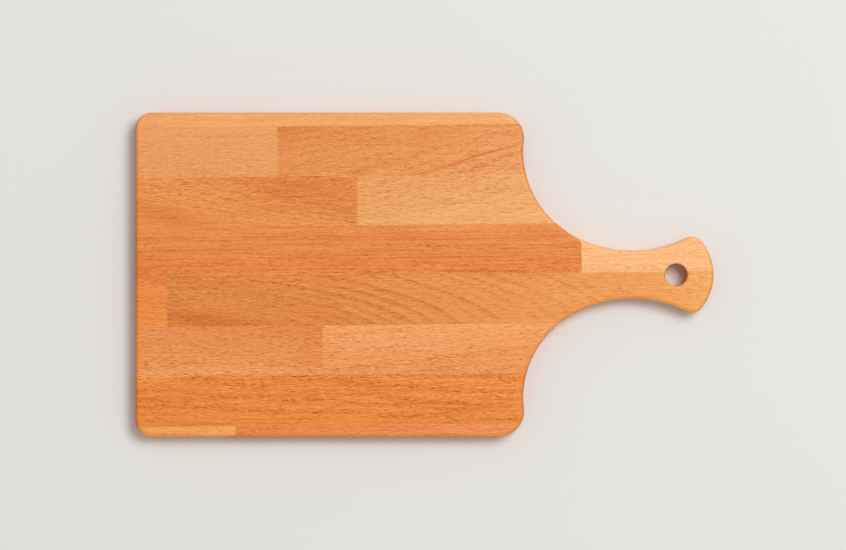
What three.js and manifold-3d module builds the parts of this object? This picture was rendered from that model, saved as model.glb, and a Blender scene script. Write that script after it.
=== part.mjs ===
// A paddle-shaped cheese board, cut from an edge-glued beech panel.
// The panel is rows of staves. Lengths of stave are joined end to end by fingers that are hidden from both
// faces, and a film of glue fills every joint.
// Millimetres. +X runs along the board to its handle, +Y to its back edge and +Z up out of the serving face.
// The origin is under the middle of the board's box, on the surface that the board lies on.

import * as THREE from "three";
import { mergeVertices } from "three/addons/utils/BufferGeometryUtils.js";
import Module from "manifold-3d";

// Body of the board
const BODY_LENGTH = 263;
const BOARD_WIDTH = 220;
const THICKNESS = 18;
const CORNER_RADIUS = 11.5;
const SHOULDER_RADIUS = 17.5;
const EDGE_RADIUS = 3;

// Handle: each side is a scoop of two arcs that meet before the neck, a rounded tip and a crowned end
const SHOULDER_SCOOP_RADIUS = 64.5;
const HANDLE_SCOOP_RADIUS = 83.5;
const SCOOP_BLEND_ANGLE = 30; // degrees of the handle's arc before the neck, up to where the arcs meet
const HANDLE_FLARE_ANGLE = 26.2; // degrees of the handle's arc past the neck, up to the tip
const NECK_WIDTH = 33;
const TIP_RADIUS = 8;
const END_CROWN = 6.6; // how far the end bulges past the two tips

// Hanging hole
const HOLE_DIAMETER = 15;
const HOLE_TO_END = 25.5;
const HOLE_EDGE_RADIUS = 1.5;

// Panel: whole staves between two edge strips, whose widths are those at the body's middle.
// The board was cut from it slightly askew, so the rows rise a little towards the handle.
const BACK_STRIP_WIDTH = 9.25;
const FRONT_STRIP_WIDTH = 8.25;
const STAVE_TILT = 0.63; // degrees

// End joints, each by its distance along the stave from the board's square end
const END_JOINT_2 = 97.5;
const END_JOINT_3 = 151;
const END_JOINT_4 = 302.5;
const END_JOINT_5 = 21.5;
const END_JOINT_6 = 126.5;
const END_JOINT_8 = 67;

// Fingers and glue
const FINGER_LENGTH = 10;
const FINGER_PITCH = 3.6;
const FINGER_TIP = 0.8; // width of a finger's blunt tip
const GLUE_FILM = 0.1;
const GLUE_CLEARANCE = 0.05; // between a glue film and the wood on each side of it

// Smoothness of the round faces
const ARC_STEPS = 8;
const EDGE_STEPS = 3;
const HOLE_SIDES = 48;

// How far the cutters reach past the board's faces
const CUT_MARGIN = 5;

// Tones of the beech
const STRAW = 0xf0a86b;
const ROSE = 0xeb9c61;
const PINK = 0xe69357;
const RUSSET = 0xe48a4b;
const TAN = 0xe38f4d;
const CREAM = 0xfabc81;
const ORANGE = 0xe58741;
const GLUE = 0xc98a4e;
const WOOD_ROUGHNESS = 0.55;
const GLUE_ROUGHNESS = 0.4;

// Rows from the back edge to the front: the lengths of stave in each, and the joints between them
const ROWS = [
  { staves: [["back_edge_strip", STRAW]], joints: [] },
  { staves: [["stave_2_left", ROSE], ["stave_2_right", PINK]], joints: [END_JOINT_2] },
  { staves: [["stave_3_left", RUSSET], ["stave_3_right", STRAW]], joints: [END_JOINT_3] },
  { staves: [["stave_4_body", RUSSET], ["stave_4_handle", CREAM]], joints: [END_JOINT_4] },
  { staves: [["stave_5_stub", RUSSET], ["stave_5_handle", TAN]], joints: [END_JOINT_5] },
  { staves: [["stave_6_left", PINK], ["stave_6_right", ROSE]], joints: [END_JOINT_6] },
  { staves: [["stave_7", ORANGE]], joints: [] },
  {
    staves: [["front_edge_strip_left", STRAW], ["front_edge_strip_right", RUSSET]],
    joints: [END_JOINT_8],
  },
];

const wasm = await Module();
wasm.setup();

const radians = THREE.MathUtils.degToRad;

// Places along the board, from its square end
const neckAt =
  BODY_LENGTH +
  SHOULDER_SCOOP_RADIUS +
  (HANDLE_SCOOP_RADIUS - SHOULDER_SCOOP_RADIUS) * Math.sin(radians(SCOOP_BLEND_ANGLE));
const tipAt = neckAt + (HANDLE_SCOOP_RADIUS + TIP_RADIUS) * Math.sin(radians(HANDLE_FLARE_ANGLE));
const boardLength = tipAt + TIP_RADIUS + END_CROWN;
const squareEnd = -boardLength / 2;
const bodyMiddle = squareEnd + BODY_LENGTH / 2;

// An arc of the outline, by its centre, radius and angles
function arc(centre, radius, from, to, clockwise) {
  return { centre, radius, from, to, clockwise };
}

// The same arc on the other side of the board's axis, run the other way
function mirroredArc({ centre, radius, from, to, clockwise }) {
  return arc(new THREE.Vector2(centre.x, -centre.y), radius, -to, -from, clockwise);
}

// The angle at which one point sees another
function angleTo(from, to) {
  return Math.atan2(to.y - from.y, to.x - from.x);
}

// The back half of the outline, from the square end's corner to the handle's tip
function backArcs(shoulderScoop, handleScoop, tip, end) {
  const blend = -Math.PI / 2 - radians(SCOOP_BLEND_ANGLE);
  const edge = BOARD_WIDTH / 2;
  const corner = new THREE.Vector2(squareEnd + CORNER_RADIUS, edge - CORNER_RADIUS);
  const shoulder = new THREE.Vector2(0, edge - SHOULDER_RADIUS);
  const reach = SHOULDER_SCOOP_RADIUS + SHOULDER_RADIUS;
  shoulder.x = shoulderScoop.x - Math.sqrt(reach ** 2 - (shoulder.y - shoulderScoop.y) ** 2);
  const turn = angleTo(shoulder, shoulderScoop);
  const flare = angleTo(handleScoop, tip);
  return [
    arc(corner, CORNER_RADIUS, Math.PI, Math.PI / 2, true),
    arc(shoulder, SHOULDER_RADIUS, Math.PI / 2, turn, true),
    arc(shoulderScoop, SHOULDER_SCOOP_RADIUS, turn - Math.PI, blend, false),
    arc(handleScoop, HANDLE_SCOOP_RADIUS, blend, flare, false),
    arc(tip, TIP_RADIUS, flare + Math.PI, angleTo(end, tip), true),
  ];
}

// The board's outline: arcs round the handle and the corners, joined by straight edges
function boardOutline() {
  const blend = radians(SCOOP_BLEND_ANGLE);
  const flare = radians(HANDLE_FLARE_ANGLE);
  const neck = squareEnd + neckAt;
  const handleScoop = new THREE.Vector2(neck, NECK_WIDTH / 2 + HANDLE_SCOOP_RADIUS);
  const stepBetween = HANDLE_SCOOP_RADIUS - SHOULDER_SCOOP_RADIUS;
  const shoulderScoop = new THREE.Vector2(
    handleScoop.x - stepBetween * Math.sin(blend),
    handleScoop.y - stepBetween * Math.cos(blend),
  );
  const tip = new THREE.Vector2(
    squareEnd + tipAt,
    handleScoop.y - (HANDLE_SCOOP_RADIUS + TIP_RADIUS) * Math.cos(flare),
  );
  const endRadius = ((TIP_RADIUS + END_CROWN) ** 2 + tip.y ** 2 - TIP_RADIUS ** 2) / (2 * END_CROWN);
  const end = new THREE.Vector2(squareEnd + boardLength - endRadius, 0);
  const back = backArcs(shoulderScoop, handleScoop, tip, end);
  const endArc = arc(end, endRadius, angleTo(end, tip), -angleTo(end, tip), true);
  const front = back.map(mirroredArc).reverse();
  const outline = new THREE.Shape();
  for (const { centre, radius, from, to, clockwise } of [...back, endArc, ...front]) {
    outline.absarc(centre.x, centre.y, radius, from, to, clockwise);
  }
  return outline;
}

// The closed solid of a geometry whose shared corners are merged
function solidOf(geometry) {
  geometry.deleteAttribute("normal");
  geometry.deleteAttribute("uv");
  const merged = mergeVertices(geometry);
  return new wasm.Manifold(
    new wasm.Mesh({
      numProp: 3,
      vertProperties: new Float32Array(merged.attributes.position.array),
      triVerts: new Uint32Array(merged.index.array),
    }),
  );
}

// What the hanging hole takes away: a round hole that flares at both faces, so that its edges are eased
function holeCutter() {
  const radius = HOLE_DIAMETER / 2;
  const mouth = radius + HOLE_EDGE_RADIUS;
  const easing = [];
  for (let step = 0; step <= EDGE_STEPS; step++) {
    const turn = ((Math.PI / 2) * step) / EDGE_STEPS;
    const out = mouth - HOLE_EDGE_RADIUS * Math.sin(turn);
    easing.push(new THREE.Vector2(out, HOLE_EDGE_RADIUS * (1 - Math.cos(turn))));
  }
  const upper = easing.map(({ x, y }) => new THREE.Vector2(x, THICKNESS - y)).reverse();
  const profile = [
    new THREE.Vector2(0, -CUT_MARGIN),
    new THREE.Vector2(mouth, -CUT_MARGIN),
    ...easing,
    ...upper,
    new THREE.Vector2(mouth, THICKNESS + CUT_MARGIN),
    new THREE.Vector2(0, THICKNESS + CUT_MARGIN),
  ];
  const cutter = new THREE.LatheGeometry(profile, HOLE_SIDES);
  cutter.rotateX(Math.PI / 2);
  cutter.translate(squareEnd + boardLength - HOLE_TO_END, 0, 0);
  return cutter;
}

// Turns a shape from the board's frame into the panel's, where the staves run along X
function intoPanel(geometry) {
  geometry.translate(-bodyMiddle, 0, 0);
  return geometry.rotateZ(-radians(STAVE_TILT));
}

// The whole board as one solid, for the staves and the glue to be cut from
function boardBlank() {
  const blank = new THREE.ExtrudeGeometry(boardOutline(), {
    depth: THICKNESS - 2 * EDGE_RADIUS,
    bevelThickness: EDGE_RADIUS,
    bevelSize: EDGE_RADIUS,
    bevelOffset: -EDGE_RADIUS,
    bevelSegments: EDGE_STEPS,
    curveSegments: ARC_STEPS,
  });
  blank.translate(0, 0, EDGE_RADIUS);
  return solidOf(intoPanel(blank)).subtract(solidOf(intoPanel(holeCutter())));
}

// A line across the thickness, from under the board to above it, where a row starts or ends
function plainEnd(x) {
  return [new THREE.Vector2(x, -CUT_MARGIN), new THREE.Vector2(x, THICKNESS + CUT_MARGIN)];
}

// The line of fingers across the thickness: the left stave's tips lie at x, and one of its notches at mid-height
function fingerLine(x) {
  const pairs = Math.ceil((THICKNESS / 2 + CUT_MARGIN) / FINGER_PITCH);
  const line = [];
  for (let pair = -pairs; pair <= pairs; pair++) {
    const notch = THICKNESS / 2 + pair * FINGER_PITCH;
    const tip = notch + FINGER_PITCH / 2;
    line.push(new THREE.Vector2(x - FINGER_LENGTH, notch - FINGER_TIP / 2));
    line.push(new THREE.Vector2(x - FINGER_LENGTH, notch + FINGER_TIP / 2));
    line.push(new THREE.Vector2(x, tip - FINGER_TIP / 2));
    line.push(new THREE.Vector2(x, tip + FINGER_TIP / 2));
  }
  return line;
}

// A line moved by a distance to its right as it runs, with its corners mitred
function besideLine(line, distance) {
  const normals = [];
  for (let i = 1; i < line.length; i++) {
    const along = line[i].clone().sub(line[i - 1]).normalize();
    normals.push(new THREE.Vector2(along.y, -along.x));
  }
  return line.map((point, i) => {
    const before = normals[Math.max(i - 1, 0)];
    const after = normals[Math.min(i, normals.length - 1)];
    const mitre = before.clone().add(after).divideScalar(1 + before.dot(after));
    return point.clone().addScaledVector(mitre, distance);
  });
}

// The stretch of the blank between two lines across its thickness, and between two places across its width
function stretch(blank, leftLine, rightLine, low, high) {
  const profile = new THREE.Shape([...leftLine, ...rightLine.toReversed()]);
  const cutter = new THREE.ExtrudeGeometry(profile, { depth: high - low, bevelEnabled: false });
  cutter.rotateX(Math.PI / 2);
  cutter.translate(0, high, 0);
  return blank.intersect(solidOf(cutter));
}

// Adds a cut piece to a group, and what the hole or the outline cuts off it as pieces of their own
function addPieces(group, solid, name, colour, roughness) {
  const bodies = solid.decompose().sort((one, other) => other.volume() - one.volume());
  bodies.forEach((body, i) => {
    const { vertProperties, triVerts } = body.getMesh();
    const geometry = new THREE.BufferGeometry();
    geometry.setAttribute("position", new THREE.BufferAttribute(vertProperties, 3));
    geometry.setIndex(new THREE.BufferAttribute(triVerts, 1));
    geometry.computeVertexNormals();
    const material = new THREE.MeshStandardMaterial({ color: colour, roughness, metalness: 0 });
    const mesh = new THREE.Mesh(geometry, material);
    mesh.name = name + "_end".repeat(i);
    group.add(mesh);
  });
}

// Where the seam on the front side of a row lies across the panel
function seamAfter(row) {
  const staveWidth = (BOARD_WIDTH - BACK_STRIP_WIDTH - FRONT_STRIP_WIDTH) / (ROWS.length - 2);
  return BOARD_WIDTH / 2 - BACK_STRIP_WIDTH - (row - 1) * staveWidth;
}

// The staves of one row and the glue in its end joints
function addRow(group, blank, row) {
  const { staves, joints } = ROWS[row - 1];
  const glueShare = GLUE_FILM / 2 + GLUE_CLEARANCE;
  const high = row === 1 ? BOARD_WIDTH : seamAfter(row - 1) - glueShare;
  const low = row === ROWS.length ? -BOARD_WIDTH : seamAfter(row) + glueShare;
  const lines = joints.map((distance) => fingerLine(distance - BODY_LENGTH / 2));
  staves.forEach(([name, tone], i) => {
    const left = i === 0 ? plainEnd(-boardLength) : besideLine(lines[i - 1], glueShare);
    const right = i === lines.length ? plainEnd(boardLength) : besideLine(lines[i], -glueShare);
    const stave = stretch(blank, left, right, low, high);
    addPieces(group, stave, name, tone, WOOD_ROUGHNESS);
  });
  for (const line of lines) {
    const left = besideLine(line, -GLUE_FILM / 2);
    const right = besideLine(line, GLUE_FILM / 2);
    const film = stretch(blank, left, right, low, high);
    addPieces(group, film, `finger_glue_${row}`, GLUE, GLUE_ROUGHNESS);
  }
}

// The glue between one row and the next
function addGlueLine(group, blank, row) {
  const seam = seamAfter(row);
  const left = plainEnd(-boardLength);
  const right = plainEnd(boardLength);
  const film = stretch(blank, left, right, seam - GLUE_FILM / 2, seam + GLUE_FILM / 2);
  addPieces(group, film, `glue_line_${row}_${row + 1}`, GLUE, GLUE_ROUGHNESS);
}

// The panel, turned and placed in the board's frame
function cheeseBoard() {
  const panel = new THREE.Group();
  const blank = boardBlank();
  for (let row = 1; row <= ROWS.length; row++) {
    addRow(panel, blank, row);
    if (row < ROWS.length) {
      addGlueLine(panel, blank, row);
    }
  }
  panel.position.x = bodyMiddle;
  panel.rotation.z = radians(STAVE_TILT);
  const board = new THREE.Group();
  board.add(panel);
  return board;
}

const group = cheeseBoard();

export default group;
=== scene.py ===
"""A paddle-shaped beech cheese board: fine meshes of its staves and its glue, each stave with its own wood.

Lengths are metres, as in the frame. The marks of the wood, such as rings and flecks, are in millimetres.
+X runs along the board to its handle, +Y to its back edge and +Z up out of the serving face.
"""

import math
from dataclasses import dataclass

import bmesh
import bpy
from bpy.props import FloatProperty, FloatVectorProperty, PointerProperty
from bpy.types import Operator, Panel, PropertyGroup
from mathutils import Color, Matrix, Vector


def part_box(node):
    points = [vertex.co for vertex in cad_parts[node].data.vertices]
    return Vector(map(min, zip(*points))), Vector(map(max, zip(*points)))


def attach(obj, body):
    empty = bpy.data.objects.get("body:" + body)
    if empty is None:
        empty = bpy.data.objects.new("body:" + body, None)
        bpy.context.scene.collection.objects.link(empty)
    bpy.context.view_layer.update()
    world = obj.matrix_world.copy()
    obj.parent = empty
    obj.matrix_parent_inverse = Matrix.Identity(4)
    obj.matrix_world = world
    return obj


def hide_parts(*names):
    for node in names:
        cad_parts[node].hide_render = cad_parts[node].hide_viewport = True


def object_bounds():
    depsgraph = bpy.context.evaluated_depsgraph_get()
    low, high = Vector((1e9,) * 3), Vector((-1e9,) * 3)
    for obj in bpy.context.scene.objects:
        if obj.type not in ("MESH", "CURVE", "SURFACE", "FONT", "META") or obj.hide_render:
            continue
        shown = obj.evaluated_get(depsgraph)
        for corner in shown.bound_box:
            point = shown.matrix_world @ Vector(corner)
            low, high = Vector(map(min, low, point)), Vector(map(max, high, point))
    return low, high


bl_info = {
    "name": "Beech Cheese Board",
    "version": (1, 0, 0),
    "blender": (4, 5, 0),
    "location": "3D View > Sidebar > Cheese Board",
    "description": "Builds a paddle-shaped cheese board from jointed beech staves",
    "category": "Object",
}

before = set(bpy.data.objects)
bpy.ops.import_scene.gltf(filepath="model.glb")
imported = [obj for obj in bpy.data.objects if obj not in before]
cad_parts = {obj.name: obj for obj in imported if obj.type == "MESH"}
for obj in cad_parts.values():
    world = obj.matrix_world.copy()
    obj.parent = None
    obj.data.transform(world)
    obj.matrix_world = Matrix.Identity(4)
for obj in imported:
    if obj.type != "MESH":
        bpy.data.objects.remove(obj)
CAD_LOW, CAD_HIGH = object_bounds()

MILLIMETRE = 0.001

# Smoothness of the meshes
ARC_STEP = 1.5 * MILLIMETRE
EDGE_STEPS = 8
HOLE_SIDES = 96
SHARP_ANGLE = math.radians(40)

# Points of the outline that lie closer than this are one point
SAME_POINT = 0.001 * MILLIMETRE

# How far the cutters reach past the board's faces
CUT_MARGIN = 5 * MILLIMETRE

# Spacing of the marks along the grain, round the rings and along the rays. Millimetres.
RING_WAVE_SIZE = (70, 22, 22)
FIBRE_WANDER_SIZE = (80, 14, 14)
RING_BREAK_SIZE = (9, 1.8, 3)
FLECK_CROWD_SIZE = (30, 7, 30)
FLECK_SIZES = ((6.4, 0.9, 0.8), (4.6, 0.65, 0.6), (3.2, 0.5, 0.45))
STROKE_SIZE = (5, 0.7, 0.55)
LINE_SIZE = (40, 0.9, 3)
STREAK_SIZE = (110, 2.2, 5)
FINE_SIZE = (3.4, 0.45, 0.4)
PATCH_SIZE = (60, 9, 9)
BAND_BREAK_SIZE = (40, 2, 3)
END_RAY_SIZE = (12, 0.45, 7)
WEAR_AND_LIGHT_PATCH_SIZE = (18, 5, 5)
GLUE_CLOUD_SIZE = (6, 2, 2)

# How far noise is turned about its diagonal, so that its own lattice doesn't show along the grain
LATTICE_TURN = math.radians(60)

# How far apart along the grain two staves take their marks from, so that none repeats another. Millimetres.
STAVE_SHIFT = 700.0

# How far the rings wave and the fibres wander. Millimetres.
RING_WAVE = 2.4
FIBRE_WANDER = 2.5

# Growth rings: how unevenly they follow each other, and how many such changes there are to a ring
RING_SWAY = 1.2
SWAYS_PER_RING = 0.3

# Late wood: how it rises through a ring, from where it falls again, its mean, and how it breaks up
LATE_WOOD_POWER = 1.5
LATE_WOOD_FALL = 0.7
LATE_WOOD_MEAN = 0.28
LATE_WOOD_BREAKS = 2.2

# Strength of the faintest ring, and how much stronger the strongest is
FAINTEST_RING = 0.55
RING_SPREAD = 0.9

# Ray flecks: where their edge and their core lie, and how they gather in crowds and in late wood
FLECK_EDGE = 0.36
FLECK_CORE = 0.12
FLECK_CROWDING = 0.25
FLECKS_IN_LATE_WOOD = 0.15

# How much a stroke is set off by what lies beside it, and how much the finest fibres darken the wood
STROKE_CONTRAST = 0.6
FINE_STRENGTH = 2.0

# How much the fine marks lighten the wood between them, as a share of how much they darken it
LIGHT_SIDE = 0.58

# How much the bands break up
BAND_BREAKS = 1.6

# How far a surface faces an end or a side where its grain begins to show, and where it shows in full
END_GRAIN_FACING = (0.3, 0.95)
SIDE_GRAIN_FACING = (0.5, 0.95)

# Strength of the rays and rings on end grain, and how much the other marks fade on ends and sides
END_RAYS = 1.3
END_RINGS = 0.7
END_FADE = 0.75
SIDE_FADE = 0.35

# How patchy the worn edges are, and how much their tone is lightened: partly rubbed wood, partly painted
# light against the shade on the rounding
WEAR_AND_LIGHT_PATCHES = 3.0
EDGE_WEAR_AND_LIGHT_TONE = -0.12

# What roughness gains in fine fibres, flecks, end grain and worn edges
FINE_ROUGHNESS = 0.25
FLECK_ROUGHNESS = -0.06
END_GRAIN_ROUGHNESS = 0.12
WORN_ROUGHNESS = 0.1

# Relief of the wood: height of the flecks against the fibres, and how deep it goes
FLECK_HEIGHT = -0.35
RELIEF_DEPTH = 0.03 * MILLIMETRE

# How much oiled wood reflects, where 0.5 is usual
WOOD_SPECULAR = 0.25

# Cured glue: how deep its tone is, its roughness, and how much its clouds change both
GLUE_TONE = 0.2
GLUE_ROUGHNESS = 0.4
GLUE_CLOUD_TONE = 1.5
GLUE_CLOUD_ROUGHNESS = 0.3

# What colour is multiplied by where its tone deepens or warms, in its fine dark marks and on end grain
DEEPER_TONE = (0.865, 0.67, 0.47)
WARMER_TONE = (1.0, 0.8, 0.55)
DARK_MARK = (0.8, 0.66, 0.4)
END_GRAIN_TINT = (0.78, 0.66, 0.54)

# Floor: squares along each side of its mesh, the size of its clouds in metres, and its roughness
FLOOR_SQUARES = 8
FLOOR_CLOUD_SIZE = (0.4, 0.4, 0.4)
FLOOR_ROUGHNESS = 0.8
FLOOR_CLOUD_ROUGHNESS = 0.2


@dataclass(frozen=True)
class Band:
    """A streak or patch of deeper wood that follows the growth rings. Millimetres, apart from its depth.

    It lies at a place on the serving face, is so thick through the rings and reaches so far along the stave.
    Its depth is how much it deepens the tone. Below zero, it makes it paler.
    """

    along: float
    across: float
    thickness: float
    reach: float
    depth: float


@dataclass(frozen=True)
class Stave:
    """One length of wood: its place in the panel, its mean tone, how it was sawn and how it is marked."""

    node: str
    row: int
    colour: int

    # Pith of its tree: across from the middle of the row and up from the board's underside in millimetres,
    # and how much it climbs for each millimetre along the board
    pith_across: float = -30.0
    pith_height: float = -70.0
    lean_up: float = 0.0

    # Width of a year's ring in millimetres, and how far its rays are turned about the grain in degrees
    ring_width: float = 2.4
    ray_turn: float = 8.0

    # Strength of its rings, short strokes, long lines, broad streaks, ray flecks and soft patches
    rings: float = 0.2
    strokes: float = 1.8
    lines: float = 1.0
    streaks: float = 0.4
    flecks: float = 1.3
    mottle: float = 0.4

    # How much its tone deepens and warms and its marks grow, from its middle to its handle end or front side
    to_handle: float = 0.0
    to_front: float = 0.0
    warm_front: float = 0.0
    marks_to_handle: float = 0.0
    marks_to_front: float = 0.0

    # How much of its rings is lost at both ends
    ring_fade: float = 0.0

    bands: tuple = ()


STAVES = [
    Stave(
        "back_edge_strip", 1, 0xF1A867,
        ray_turn=-12, strokes=0.8, streaks=0.5, flecks=0.45, mottle=0.1, to_handle=-0.1,
    ),
    Stave(
        "stave_2_left", 2, 0xEB9D5D,
        pith_across=10, pith_height=-90, lean_up=0.02,
        rings=0.1, strokes=1.75, flecks=0.9, mottle=0.2, marks_to_front=0.15,
    ),
    Stave(
        "stave_2_right", 2, 0xE99553,
        pith_across=-54, pith_height=-115, lean_up=0.1, ring_width=2.2,
        rings=0.3, strokes=2.1, flecks=1.8,
        to_handle=-0.24, to_front=-0.1, marks_to_handle=0.05, marks_to_front=0.1,
        bands=(Band(36, 79.3, 0.27, 34, 1.1), Band(-85, 99, 2, 60, 0.55)),
    ),
    Stave(
        "stave_3_left", 3, 0xEB944D,
        pith_across=25, pith_height=-50, lean_up=0.08, ring_width=1.9,
        rings=0.25, strokes=3.1, flecks=1.9, marks_to_handle=0.15, marks_to_front=-0.2,
        bands=(Band(-86, 61, 4.6, 62, 0.75), Band(-172, 40, 2.6, 38, 0.75)),
    ),
    Stave(
        "stave_3_right", 3, 0xEEA665,
        pith_across=30, pith_height=-42, lean_up=-0.12, ring_width=2.2,
        strokes=2.15, to_handle=-0.2, to_front=-0.1, marks_to_handle=-0.08, marks_to_front=-0.2,
    ),
    Stave(
        "stave_4_body", 4, 0xE78840,
        pith_across=45, pith_height=-22, lean_up=0.004, ring_width=2, ray_turn=20,
        rings=0.3, strokes=2.1, lines=1.9, streaks=1.0, flecks=1.7, mottle=0.2,
        to_front=0.05, warm_front=0.25, marks_to_front=0.3,
        bands=(
            Band(-60, 29, 3, 200, -0.08), Band(-60, 28, 0.2, 150, 0.7), Band(-70, 26, 0.22, 150, 0.9),
            Band(-40, 23.5, 0.22, 150, 0.9), Band(-80, 21, 0.2, 110, 0.6),
        ),
    ),
    Stave("stave_4_handle", 4, 0xFAB97C, rings=0.1, strokes=1.25, flecks=0.7, mottle=0.1),
    Stave(
        "stave_5_stub", 5, 0xEE8C40,
        pith_across=-25, pith_height=-30, lean_up=-0.2, ring_width=3,
        strokes=2.15, flecks=1.5, to_front=-0.15, marks_to_front=-0.2,
        bands=(Band(-172, -4, 2.6, 12, 0.55),),
    ),
    Stave(
        "stave_5_handle", 5, 0xE68F44,
        pith_across=-39.4, pith_height=-36, lean_up=-0.29, ring_width=3.8,
        rings=0.95, strokes=2.4, flecks=1.6,
        to_handle=-0.72, marks_to_handle=-0.36, marks_to_front=-0.15, ring_fade=2.2,
        bands=(
            Band(-147, -30, 3.8, 30, 0.7), Band(-160, -6, 20, 60, -0.4), Band(-60, -31, 3, 60, 0.25),
            Band(190, -8, 30, 16, -0.22),
        ),
    ),
    Stave(
        "stave_6_left", 6, 0xEC9352,
        pith_across=15, pith_height=-75,
        rings=0.1, strokes=3.2, flecks=2.15, to_front=-0.22, marks_to_front=0.18,
        bands=(Band(-77, -42, 8, 7, 0.3),),
    ),
    Stave(
        "stave_6_right", 6, 0xF29D5D,
        pith_across=-60, pith_height=-80, lean_up=0.06, ring_width=3,
        rings=0.12, strokes=2.4, flecks=2.1, mottle=0.2,
        to_front=0.25, marks_to_handle=-0.08, marks_to_front=0.12,
        bands=(Band(40, -56, 1.8, 55, 0.15),),
    ),
    Stave(
        "stave_7", 7, 0xEC8A38,
        pith_across=25, pith_height=-55, lean_up=0.025, ring_width=2.2, ray_turn=-15,
        rings=0.25, strokes=3.4, lines=2.0, streaks=1.6, flecks=2.8, mottle=0.15,
        marks_to_handle=0.09, marks_to_front=-0.33,
        bands=(Band(20, -87, 0.6, 45, 0.7), Band(-60, -74, 0.4, 60, 0.3)),
    ),
    Stave("front_edge_strip_left", 8, 0xF5A053, ray_turn=14, strokes=2.0),
    Stave("front_edge_strip_right", 8, 0xEB8C46, ray_turn=-6, strokes=3.05, flecks=1.6, to_handle=-0.3),
]

EDGE_STRIPS = ("back_edge_strip", "front_edge_strip_left", "front_edge_strip_right")
HANDLE_STAVES = ("stave_4_handle", "stave_5_handle")

ROW_COUNT = max(stave.row for stave in STAVES)

# The property that places the end joint of each row that has one
END_JOINTS = {row: f"end_joint_{row}" for row in (2, 3, 4, 5, 6, 8)}


def length_property(name, description, millimetres):
    """A size that a user can set, given in millimetres and kept in metres."""
    size = millimetres * MILLIMETRE
    return FloatProperty(name=name, description=description, default=size, min=0, unit="LENGTH", precision=5)


def angle_property(name, description, degrees):
    """An angle that a user can set, given in degrees."""
    return FloatProperty(name=name, description=description, default=math.radians(degrees), subtype="ANGLE")


def place_property(name, description, place):
    """A place that a user can set, in metres."""
    return FloatVectorProperty(
        name=name, description=description, default=place, size=len(place), subtype="TRANSLATION"
    )


def share_property(name, description, share):
    """A share of the whole that a user can set."""
    return FloatProperty(name=name, description=description, default=share, min=0, max=1, subtype="FACTOR")


def linear(colour):
    """The linear red, green and blue of a colour written as 0xRRGGBB."""
    red_green_blue = [level / 255 for level in colour.to_bytes(3, "big")]
    return tuple(Color(red_green_blue).from_srgb_to_scene_linear())


def colour_property(name, description, colour):
    """A colour that a user can set, given as 0xRRGGBB."""
    return FloatVectorProperty(
        name=name, description=description, default=linear(colour), subtype="COLOR", size=3, min=0, max=1
    )


class BoardShape(PropertyGroup):
    """Sizes of the board, its handle, its staves and its joints."""

    body_length: length_property("Body length", "From the square end to where the scoops begin", 263)
    board_width: length_property("Width", "Across the body", (CAD_HIGH.y - CAD_LOW.y) / MILLIMETRE)
    thickness: length_property("Thickness", "Of the panel", (CAD_HIGH.z - CAD_LOW.z) / MILLIMETRE)
    corner_radius: length_property("Corner radius", "Of the square end's corners", 11.5)
    shoulder_radius: length_property("Shoulder radius", "Of the corners beside the handle", 17.5)
    edge_radius: length_property("Edge radius", "Of the rounding round both faces", 3)
    shoulder_scoop_radius: length_property("Shoulder scoop", "Of the arc that leaves each shoulder", 64.5)
    handle_scoop_radius: length_property("Handle scoop", "Of the arc along the handle's side", 83.5)
    scoop_blend_angle: angle_property("Scoop blend", "Of the handle's arc before the neck", 30)
    handle_flare_angle: angle_property("Handle flare", "Of the handle's arc past the neck", 26.2)
    neck_width: length_property("Neck width", "Across the handle at its narrowest", 33)
    tip_radius: length_property("Tip radius", "Of the handle's two corners", 8)
    end_crown: length_property("End crown", "How far the handle's end bulges past its corners", 6.6)
    hole_diameter: length_property("Hole diameter", "Of the hanging hole", 15)
    hole_to_end: length_property("Hole to end", "From the hanging hole's middle to the handle's end", 25.5)
    hole_edge_radius: length_property("Hole edge radius", "Of the easing round the hanging hole", 1.5)
    back_strip_width: length_property("Back strip width", "At the middle of the body", 9.25)
    front_strip_width: length_property("Front strip width", "At the middle of the body", 8.25)
    stave_tilt: angle_property("Stave tilt", "How far the board is cut askew from the panel", 0.63)
    end_joint_2: length_property("End joint, row 2", "From the board's square end", 97.5)
    end_joint_3: length_property("End joint, row 3", "From the board's square end", 151)
    end_joint_4: length_property("End joint, row 4", "From the board's square end", 302.5)
    end_joint_5: length_property("End joint, row 5", "From the board's square end", 21.5)
    end_joint_6: length_property("End joint, row 6", "From the board's square end", 126.5)
    end_joint_8: length_property("End joint, row 8", "From the board's square end", 67)
    finger_length: length_property("Finger length", "Of the fingers in the end joints", 10)
    finger_pitch: length_property("Finger pitch", "From one finger to the next", 3.6)
    finger_tip: length_property("Finger tip", "Width of a finger's blunt tip", 0.8)
    glue_film: length_property("Glue film", "Thickness of the glue in every joint", 0.1)


def stave_tones():
    """A tone for each stave, which a user can set."""
    tones = {}
    for stave in STAVES:
        title = stave.node.replace("_", " ").capitalize()
        tones[stave.node] = colour_property(title, "Mean tone of this stave", stave.colour)
    return tones


class BeechFinish(PropertyGroup):
    """The finish that all staves share, and the tone of each, which is added below."""

    glue: colour_property("Glue", "Tone of the cured glue", 0xC98A4E)
    roughness: share_property("Roughness", "Of the oiled wood", 0.5)
    relief: share_property("Relief", "Strength of the fibres' bump", 0.25)


BeechFinish.__annotations__.update(stave_tones())


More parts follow.
